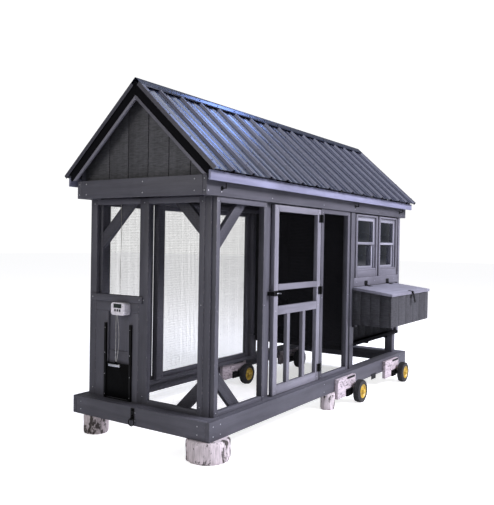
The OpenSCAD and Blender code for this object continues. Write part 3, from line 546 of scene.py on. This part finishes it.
def slices(part, across, cuts):
    """A convex solid cut by planes across one axis."""
    limits = [None, *cuts, None]
    for low, high in zip(limits, limits[1:]):
        bm = bmesh.new()
        verts = [bm.verts.new(v) for v in part[0]]
        for face in part[1]:
            bm.faces.new([verts[k] for k in face])
        for limit, side in ((low, -1), (high, 1)):
            if limit is None:
                continue
            point, normal = Vector(), Vector()
            point[across], normal[across] = limit, side
            cut = bmesh.ops.bisect_plane(bm, geom=bm.verts[:] + bm.edges[:] + bm.faces[:], plane_co=point,
                                         plane_no=normal, clear_outer=True)
            rim = [e for e in cut["geom_cut"] if isinstance(e, bmesh.types.BMEdge)]
            if rim:
                bmesh.ops.edgeloop_fill(bm, edges=rim)
        if bm.faces:
            bm.verts.index_update()
            yield [v.co.copy() for v in bm.verts], [[v.index for v in f.verts] for f in bm.faces]
        bm.free()


GROOVE_PITCH = 203 * MM  # halved on a panel narrower than WIDE_PANEL
GROOVE_HALF = 2.5 * MM
GROOVE_WEB = 0.3  # share of the panel's thickness left in a groove
LEAST_STRIP = 20 * MM
PANEL_WIDTH, PANEL_THICK, PANEL_HEIGHT, WIDE_PANEL = 0.3, 18 * MM, 0.1, 0.6
NEAR_STRIP = 0.2  # only the wall beside the nest box lies this close to the coop's near side


def grooved(node, material):
    """Upright siding: wide thin panels cut into strips. A second material serves the far and rear walls."""
    made = Build()
    for part in islands(node):
        low, high = span(part)
        rear = 1 if isinstance(material, list) and high.y > ORIGIN.y + NEAR_STRIP else 0
        size = high - low
        across, thin = (0, 1) if size.x > size.y else (1, 0)
        if size[across] > PANEL_WIDTH and min(size) < PANEL_THICK and size.z > PANEL_HEIGHT:
            step = GROOVE_PITCH / (1 if size[across] > WIDE_PANEL else 2)
            cuts = [low[across] + i * step for i in range(1, int((high[across] - low[across]) / step) + 1)]
            edges = [c + k * GROOVE_HALF for c in cuts if c < high[across] - LEAST_STRIP for k in (-1, 1)]
            mid = (low + high)[thin] / 2
            for i, strip in enumerate(slices(part, across, edges)):
                for v in strip[0] if i % 2 else ():
                    v[thin] = mid + GROOVE_WEB * (v[thin] - mid)
                made.board(strip, 0 if i % 2 else 1.5, Vector((0, 0, 1)), slot=rear)
        else:
            made.board(part, slot=rear)
    made.done(node + "_siding", material, "coop", "painted_boards", node)


def screw(made, point, normal, radius):
    """A pan-head screw with a sunk drive."""
    r = radius * MM
    outline = ((-0.2, 1), (0.15, 1), (0.42, 0.82), (0.55, 0.45), (0.5, 0.32), (0.2, 0.28))
    made.spin(point, normal, [(h * r, reach * r) for h, reach in outline], sides=12)


def hex_screw(made, point, normal, radius=4.5):
    """A roofing screw: washer under a hexagonal head."""
    r = radius * MM
    made.spin(point, normal, [(-0.2 * r, 1.5 * r), (0.18 * r, 1.5 * r), (0.3 * r, 1.15 * r)], sides=14)
    made.spin(point, normal, [(0.25 * r, r), (0.95 * r, r), (1.15 * r, 0.78 * r)], sides=6)


# ------------------------------------------------------------------ timber

def make_framing():
    """Rafters in the main paint, the dark verge boards outside the gables and their paler trim strips."""
    made = Build()
    for part in islands("roof_framing"):
        low, high = span(part)
        if ORIGIN.x <= high.x and low.x <= BASE_TOP.x:
            paint = 0
        else:
            # thin verge boards take the near-black painted shade, the others the paler trim paint
            paint = 1 if high.x - low.x < 18 * MM else 2
        made.board(part, slot=paint)
    made.done("roof_framing_boards", [PAINT, PAINT_DARK, TRIM_PAINT], "coop", "plain_wood", "roof_framing")


def make_house_floor():
    """The henhouse's floor, with its edges carried on under the two long walls."""
    made = Build()
    for part in islands("house_floor"):
        made.board(part)
    for low_y, high_y in ((81, 147), (BASE_W - 147, BASE_W - 81)):
        low, high = at(2505, low_y, 391), at(3684, high_y, 398.4)
        made.board(([Vector((x, y, z)) for x in (low.x, high.x) for y in (low.y, high.y)
                     for z in (low.z, high.z)], BLOCK_FACES))
    # the floor is in near-black painted shade
    made.done("house_floor_boards", PAINT_DARK, "coop", "plain_wood", "house_floor")


for node in ("base_frame", "posts", "header_boards", "top_plates", "screen_frames",
             "knee_braces", "popdoor_wall"):
    boards(node, PAINT)
boards("house_trim", TRIM_PAINT)
make_framing()
boards("fascia_boards", FASCIA_PAINT)
# The roof deck is in near-black painted shade.
boards("roof_deck", PAINT_DARK, slot="plain_wood", ease=0)
boards("gable_siding", SIDING, ease=3, axis=Vector((0, 0, 1)))
# The wall beside the nest box takes the near-black painted shade, the far and rear walls the siding paint.
grooved("house_walls", [SIDING_SHADE, SIDING])
# The partition is in near-black painted shade.
boards("house_partition", PAINT_DARK, slot="plain_wood")
make_house_floor()
boards("roost_bars", RAW, slot="plain_wood", ease=6)
boards("window_frames", SASH_PAINT, ease=1.5)
grooved("nest_box", NEST_PAINT)
boards("nest_dividers", RAW, slot="plain_wood")
boards("nest_lid", LID_PAINT, "nest_lid")
boards("door_frame", DOOR_PAINT, "walk_in_door")
boards("wheel_plates", PALE_PAINT, slot="pale_wood")

# ------------------------------------------------------------------ wire mesh

WIRE_GAP, WIRE_R, WEAVE = 12.7 * MM, 0.55 * MM, 0.4 * MM


def wire_cloth(node, body):
    """Square mesh in place of each screen panel: upright wires in front of level ones."""
    made = Build()
    for part in islands(node):
        low, high = span(part)
        flat = 0 if high.x - low.x < 0.01 else 1
        across = 1 - flat
        mid = (low[flat] + high[flat]) / 2
        for run, cross in ((2, across), (across, 2)):
            for i in range(int((high[cross] - low[cross]) / WIRE_GAP) + 1):
                ends = [Vector(), Vector()]
                for end, limit in zip(ends, (low, high)):
                    end[run] = limit[run]
                    end[cross] = low[cross] + i * WIRE_GAP
                    end[flat] = mid + (WEAVE if run == 2 else -WEAVE)
                made.tube(ends, WIRE_R, 4)
    made.done(node + "_wires", WIRE, body, "wire_mesh", node, sharp=0)


wire_cloth("run_mesh", "coop")
wire_cloth("door_mesh", "walk_in_door")

# ------------------------------------------------------------------ roof

EAVE_Z, EAVE_REACH, RAKE, PITCH = 1893, 55, 60, math.radians(42.5)
RIB_H, RIB_COUNT, SHEET_T, CAP_WING = 19, 16, 1.2, 62
ROOF_L = BASE_L + 2 * RAKE
RIB_STEP = ROOF_L / RIB_COUNT
RIB_START = 0.87  # place of the first rib, in steps from the end
FAR_END = ROOF_L - RAKE
SLOPE_L = (MID_Y + EAVE_REACH) / math.cos(PITCH)
RIDGE_GAP = 2
RIDGE_Z = EAVE_Z + (MID_Y + EAVE_REACH) * math.tan(PITCH)
CAP_LIFT = (RIB_H + 3.2) / math.cos(PITCH)


def on_slope(x, up, rise, far):
    """A place x along the roof, up the slope from the eave and risen off the pan."""
    y = -EAVE_REACH + up * math.cos(PITCH) - rise * math.sin(PITCH)
    return at(x, BASE_W - y if far else y, EAVE_Z + up * math.sin(PITCH) + rise * math.cos(PITCH))


def folded(made, profile, thick, place):
    """A bent sheet: profile of (across, height, material), drawn from place(a, h, 0) to place(a, h, 1)."""
    n = len(profile)
    verts = [place(a, h + t, end) for end in (0, 1) for t in (0, thick) for a, h, paint in profile]
    faces = [[i, n + i, 3 * n + i, 2 * n + i] for i in (0, n - 1)]
    for i in range(n - 1):
        faces += [[n + i, n + i + 1, 3 * n + i + 1, 3 * n + i], [i + 1, i, 2 * n + i, 2 * n + i + 1]]
        faces += [[e + i, e + i + 1, e + n + i + 1, e + n + i] for e in (0, 2 * n)]
    made.add(verts, faces, place(0, 0, 1) - place(0, 0, 0))
    made.slots[-len(faces):] = [0, 0] + [paint for a, h, paint in profile[:-1] for side in range(4)]


def rib_profile():
    """(across, height, material): pans (0), ribs in a paler tone (1), and dark strips beside them (2).

    The tones stand in for light and shade between the ribs. They aren't dirt or wear on the sheet.
    Each step across has two low stiffening ribs and one tall rib.
    """
    major = ((-30, 0, 2), (-23, 0, 2), (-20, 1.2, 1), (-9.5, 17.5, 1), (-7, RIB_H, 1), (7, RIB_H, 1),
             (9.5, 17.5, 2), (20, 1.2, 2), (23, 0, 2), (58, 0, 0))
    minor = ((-9, 0, 1), (-4, 2.6, 1), (4, 2.6, 2), (9, 0, 2), (20, 0, 0))
    points = [(-RAKE, 0, 0)]
    for i in range(RIB_COUNT):
        for middle, shape in ((RIB_START - 0.68, minor), (RIB_START - 0.32, minor), (RIB_START, major)):
            points += [(-RAKE + (i + middle) * RIB_STEP + dx, h, paint) for dx, h, paint in shape]
    return [p for p in points if p[0] < FAR_END] + [(FAR_END, 0, 0)]


def cap_height(across):
    """Height of the ridge cap's underside, with a small round at its peak."""
    return RIDGE_Z + CAP_LIFT - max(abs(across), 3) * math.tan(PITCH)


def make_roof():
    """Two ribbed sheets, the hemmed ridge cap, and roofing screws beside the ribs and on the trims."""
    length = SLOPE_L - RIDGE_GAP
    for far, node in ((False, "roof_sheet_near"), (True, "roof_sheet_far")):
        made = Build()
        folded(made, rib_profile(), SHEET_T, lambda x, h, end: on_slope(x, end * length, h, far))
        made.done(node + "_ribbed", (ROOF, RIB_LIGHT, RIB_SHADE), "coop", "roof_metal", node, sharp=50)
    cap = Build()
    wing = [(a, cap_height(a), 0) for a in (-CAP_WING, -CAP_WING / 2, -6, 0, 6, CAP_WING / 2, CAP_WING)]
    hem = CAP_WING + 1.5
    profile = [(-hem, wing[0][1] - 9, 0), *wing, (hem, wing[-1][1] - 9, 0)]
    folded(cap, profile, 1.5, lambda a, h, end: at(-RAKE + end * ROOF_L, MID_Y + a, h))
    cap.done("ridge_cap_folded", ROOF, "coop", "roof_metal", "ridge_cap", sharp=30)
    screws = Build()
    for far in (False, True):
        normal = on_slope(0, 0, 1, far) - on_slope(0, 0, 0, far)
        for i in range(RIB_COUNT):
            x = -RAKE + (i + RIB_START) * RIB_STEP
            for up in (60, 330, 610, 800):
                hex_screw(screws, on_slope(x - 32, up, SHEET_T, far), normal)
            side = 1 if far else -1
            hex_screw(screws, at(x, MID_Y + side * 44, cap_height(44) + 1.4), normal)
        for x in (-RAKE + 16, FAR_END - 16):
            for up in (70, 330, 590, 850):
                hex_screw(screws, on_slope(x, up, RIB_H + 2.6, far), normal)
    screws.done("roof_screws", ROOF, "coop", "roof_metal")


make_roof()

# ------------------------------------------------------------------ windows


def glazed(sash):
    """A sliding sash drawn as painted bars around a separate pane."""
    bars, pane = Build(), Build()
    for part in islands(sash):
        low, high = span(part)
        if high.y - low.y < 5 * MM:
            pane.board(part, 0.8)
        else:
            bars.board(part, 2.2)
    bars.done(sash + "_bars", SASH_PAINT, sash, "painted_boards", sash)
    pane.done(sash + "_glass", GLASS, sash, "window_glass")


glazed("sash_left")
glazed("sash_right")
boards("window_panes", GLASS, slot="window_glass", ease=0.8)

# ------------------------------------------------------------------ pop door and its controller

boards("popdoor_rails", BLACK_STEEL, slot="black_steel", ease=0.8)
boards("popdoor_panel", SHEET, "pop_door", "door_sheet", ease=0.7)
boards("popdoor_bar", ZINC, "pop_door", "bare_metal", ease=3)
boards("controller_case", CASE, slot="white_plastic", ease=3.5)
for key in ("up", "set", "down"):
    boards("button_" + key, KEYS, "button_" + key, "button_plastic", ease=1.5)

POP_TOP, CORD_TOP, POP_TRAVEL, CORD_FOOT_RISE = 427, 815, 280, 10.5
CORD_X, TAUT_Y, SLACK_Y, SLACK = 95, 1006, 998, 26
CORD_LOW = POP_TOP + CORD_FOOT_RISE
CORD_STEPS, LEAD_STEPS = 28, 24


def make_cords():
    """Two falls of twisted cord from the controller to the panel, one taut and one slack."""
    falls = Build()
    drop = CORD_TOP - CORD_LOW
    for y, slack in ((TAUT_Y, 0), (SLACK_Y, SLACK)):
        points = []
        for i in range(CORD_STEPS + 1):
            t = i / CORD_STEPS
            bow = math.sin(math.pi * t)
            wave = 1.2 * math.sin(9 * t) * bow
            points.append(at(CORD_X - 2 * bow, y - slack * bow ** 0.8 + wave, CORD_LOW + drop * t))
        falls.tube(points, 1.5 * MM, 8)
        for strand in range(2):
            turn = 3.14 * strand
            falls.tube([p + Vector((math.cos(k * 0.9 + turn), math.sin(k * 0.9 + turn), 0)) * 0.9 * MM
                        for k, p in enumerate(points)], 0.9 * MM, 5)
    bead = [(0, 0.002), (0.001, 0.0034), (0.009, 0.0034), (0.01, 0.002)]
    for rise in (34, 70):
        falls.spin(at(CORD_X, TAUT_Y, CORD_LOW + rise), (0, 0, 1), bead, sides=12, slot=1)
    cord = falls.done("lift_cord_falls", [CORD, ZINC], "coop", "cord", "lift_cord")
    at(0, 0, CORD_TOP).z
    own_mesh(cord)


def make_lead():
    """The sensor's thin lead, up the wall in a shallow wave."""
    lead = Build()
    foot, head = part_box("sensor_lead")
    mid = (foot + head) / 2
    lead.tube([Vector((mid.x, mid.y + 0.004 * math.sin(7 * t), foot.z + (head.z - foot.z) * t))
               for t in (i / LEAD_STEPS for i in range(LEAD_STEPS + 1))], 1.8 * MM, 8)
    lead.done("sensor_lead_run", LEAD, "coop", "lead", "sensor_lead")


make_cords()
make_lead()

# ------------------------------------------------------------------ wheels

TYRE_R, TREAD, HUB_R, BORE_R = 112, 6, 68, 8.06
LUG_COUNT, LUG_TURN, LUG_SLANT, LUG_TAPER = 28, 0.31, 0.05, 0.82
# place along the axle, half width, share of a lug's step to turn by, and drop at the shoulder
LUG_ROWS = ((-24, 7, 0.45, 3), (-8.5, 6.5, 0, 0), (8.5, 6.5, 0.5, 0), (24, 7, 0.05, 3))
CAP_OUTLINE = ((36, 25), (40, 25), (46, 22), (50, 14), (51.5, 4))


def mirrored(half):
    """A closed outline for spin, from (radius, distance from the middle) along one side."""
    return [(h * MM, r * MM) for r, h in half] + [(-h * MM, r * MM) for r, h in reversed(half)]


def lug(centre, along, half, angle, drop):
    """A tapered, slanting block of tread."""
    corners = []
    for a in (along - half, along + half):
        for turn in (-LUG_TURN, LUG_TURN):
            for r, shrink in ((TYRE_R - TREAD - 4 - drop, 1.0), (TYRE_R - drop, LUG_TAPER)):
                t = angle + turn * shrink * 2 * math.pi / LUG_COUNT + LUG_SLANT * (a - along) / half
                reach = along + (a - along) * shrink
                corners.append(centre + Vector((math.sin(t) * r, reach, math.cos(t) * r)) * MM)
    return corners, BLOCK_FACES


def make_wheel(name):
    """A pneumatic tyre with rows of lugs, on a dished plastic hub with a cap on each side."""
    low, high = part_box("tyre_" + name)
    centre = (low + high) / 2
    side = [(HUB_R, 29), (HUB_R + 3, 33), (HUB_R + 12, 36.5), (HUB_R + 24, 36), (TYRE_R - 14, 32),
            (TYRE_R - TREAD - 2, 25), (TYRE_R - TREAD, 12)]
    tyre = Build()
    tyre.spin(centre, (0, 1, 0), mirrored(side), sides=64, closed=True, up=(0, 0, 1))
    for along, half, phase, drop in LUG_ROWS:
        for k in range(LUG_COUNT):
            angle = 2 * math.pi * (k + phase) / LUG_COUNT
            tyre.board(lug(centre, along, half, angle, drop), 0.8, segments=1)
    tyre.done("tyre_" + name + "_treaded", RUBBER, "wheel_" + name, "tyre_rubber", "tyre_" + name)
    dish = [(BORE_R, 37), (21, 37), (22.5, 35.5), (24, 27), (29, 22), (44, 20), (53, 21), (58, 25), (61, 31),
            (64, 33.5), (HUB_R - 1, 33), (HUB_R, 29.5)]
    hub = Build()
    hub.spin(centre, (0, 1, 0), mirrored(dish), sides=64, closed=True)
    for outward in (-1, 1):
        hub.spin(centre, (0, outward, 0), [(h * MM, r * MM) for h, r in CAP_OUTLINE], sides=32)
    hub.done("hub_" + name + "_dished", HUB, "wheel_" + name, "hub_plastic", "hub_" + name, sharp=60)


for wheel in ("near_mid", "near_end", "far_mid", "far_end"):
    make_wheel(wheel)

# ------------------------------------------------------------------ log rounds

LOG_RINGS, LOG_SIDES = 10, 56


def log_radius(radius, a, t):
    """Radius at angle a and share t of the height: rough bark, chipped at both ends."""
    bark = 0.05 * noise.noise(Vector((a * 5, t * 1.5, radius * 50)))
    bark += 0.022 * noise.noise(Vector((a * 19, t * 3, radius * 90)))
    chip = 0.25 * max(0, abs(2 * t - 1) - 0.8)
    return radius * (0.96 + bark - chip)


def make_logs():
    """The log rounds under the base, with bark in place of the CAD's smooth sides."""
    made = Build()
    for part in islands("support_logs"):
        low, high = span(part)
        centre, radius = (low + high) / 2, (high.x - low.x) / 2
        verts = []
        for i in range(LOG_RINGS + 1):
            t = i / LOG_RINGS
            for k in range(LOG_SIDES):
                a = 2 * math.pi * k / LOG_SIDES
                verts.append(Vector((centre.x, centre.y, low.z + (high.z - low.z) * t))
                             + Vector((math.cos(a), math.sin(a), 0)) * log_radius(radius, a, t))
        made.add(verts, ring_faces(LOG_RINGS + 1, LOG_SIDES), Vector((0, 0, 1)))
    made.done("log_rounds", LOG, "coop", "pale_wood", "support_logs", sharp=40)


make_logs()

# ------------------------------------------------------------------ screws and small hardware

WALL_OUT, GABLE_IN, HEADER_X, HEADER_Y, HEADER_Z = 57, 112, -20, 41, 1725
FRONT, LEFT = Vector((0, -1, 0)), Vector((-1, 0, 0))
HINGE_X, HINGE_HEIGHTS = (1720, 1772), (258, 972, 1630)


# sides for screw_grid, each a place for (distance along the wall, height) and the way its screws face

def near_wall(depth):
    return [(lambda x, z: at(x, depth, z), FRONT)]


def long_walls(depth):
    return near_wall(depth) + [(lambda x, z: at(x, BASE_W - depth, z), -FRONT)]


def near_gable(depth):
    return [(lambda y, z: at(depth, y, z), LEFT)]


def gables(depth):
    return near_gable(depth) + [(lambda y, z: at(BASE_L - depth, y, z), -LEFT)]


def screw_grid(made, spots, heights, sides, radius):
    """Screws at each spot along a wall and each height, on each of the sides."""
    for spot in spots:
        for z in heights:
            for place, normal in sides:
                screw(made, place(spot, z), normal, radius)


def make_fixings():
    """Screws in the base, headers, screen frames and pop-door wall, and in the walk-in door's hinges."""
    header = (HEADER_Z + 30, HEADER_Z + 112)
    made = Build()
    screw_grid(made, (45, 130, 1750, 2395, 3700, 3840), (35, 105), long_walls(0), 4.5)
    screw_grid(made, (108, 700, 1292), (40, 100), gables(0), 4.5)
    screw_grid(made, (0, 155, 850, 1760, 2450, 3060, 3760, 3885), header, long_walls(HEADER_Y), 4.5)
    screw_grid(made, (62, 150, 640, 1240, 1318), header, gables(HEADER_X), 4.5)
    screw_grid(made, (147, 780, 1777, 2350), (170, 900, 1690), near_wall(WALL_OUT), 3.6)
    screw_grid(made, (178, 737, 1280), (200, 940, 1690), near_gable(GABLE_IN), 3.6)
    screw_grid(made, (765, 1275), (940,), near_gable(GABLE_IN - 16), 4)
    screw_grid(made, (856, 1128), (170, 330, 500, 700), near_gable(GABLE_IN - 17), 3)
    screw_grid(made, (2560, 3030, 3600), (1012,), near_wall(WALL_OUT), 3.6)
    made.done("frame_screws", ZINC, "coop", "bare_metal")
    door = Build()
    screw_grid(door, (957, 1709), (180, 840, 992, 1686), near_wall(WALL_OUT), 3.6)
    door.done("door_screws", ZINC, "walk_in_door", "bare_metal")
    hinge_rows = [z + dz for z in HINGE_HEIGHTS for dz in (-26, 0, 26)]
    leaves = Build()
    screw_grid(leaves, HINGE_X[:1], hinge_rows, near_wall(WALL_OUT - 3), 4)
    leaves.done("hinge_screws_door", BLACK_STEEL, "walk_in_door", "black_steel")
    posts = Build()
    screw_grid(posts, HINGE_X[1:], hinge_rows, near_wall(WALL_OUT - 3), 4)
    for z in (78, 118):
        hex_screw(posts, at(-12, 724, z), LEFT, 6)
    posts.done("hinge_screws_post", BLACK_STEEL, "coop", "black_steel")


make_fixings()

# ------------------------------------------------------------------ CAD nodes kept as they are

CARRIED = {
    RAKE_METAL: ("rake_trims",),
    BLACK_STEEL: ("lid_leaves", "hasp_strap", "door_hardware", "post_hardware", "axles",
                  "steel_plates", "tow_ring", "header_hooks"),
    ZINC: ("door_bolt",),
    DISPLAY: ("controller_screen",),
}
for material, nodes in CARRIED.items():
    for node in nodes:
        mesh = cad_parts[node].data
        mesh.materials.clear()
        mesh.materials.append(material)

# ------------------------------------------------------------------ floor

FLOOR_REACH, FLOOR_DROP, FLOOR_GLOW = 60, 0.5 * MM, 0.8


def make_floor():
    """A pale floor just under the logs and wheels, which glows where it is seen, so that it stays even."""
    mesh = bpy.data.meshes.new("floor")
    r = FLOOR_REACH
    mesh.from_pydata([(-r, -r, 0), (r, -r, 0), (r, r, 0), (-r, r, 0)], [], [(0, 1, 2, 3)])
    floor = bpy.data.objects.new("floor", mesh)
    floor.location.z = cad_low.z - FLOOR_DROP
    shade = Shade("pale_floor", (0.80, 0.80, 0.81), Roughness=0.8)
    seen = shade.node("LightPath").outputs["Is Camera Ray"]
    shade.put(Emission_Color=(1, 1, 1, 1), Emission_Strength=shade.math("MULTIPLY", seen, FLOOR_GLOW))
    mesh.materials.append(shade.material)
    scene.collection.objects.link(floor)


make_floor()
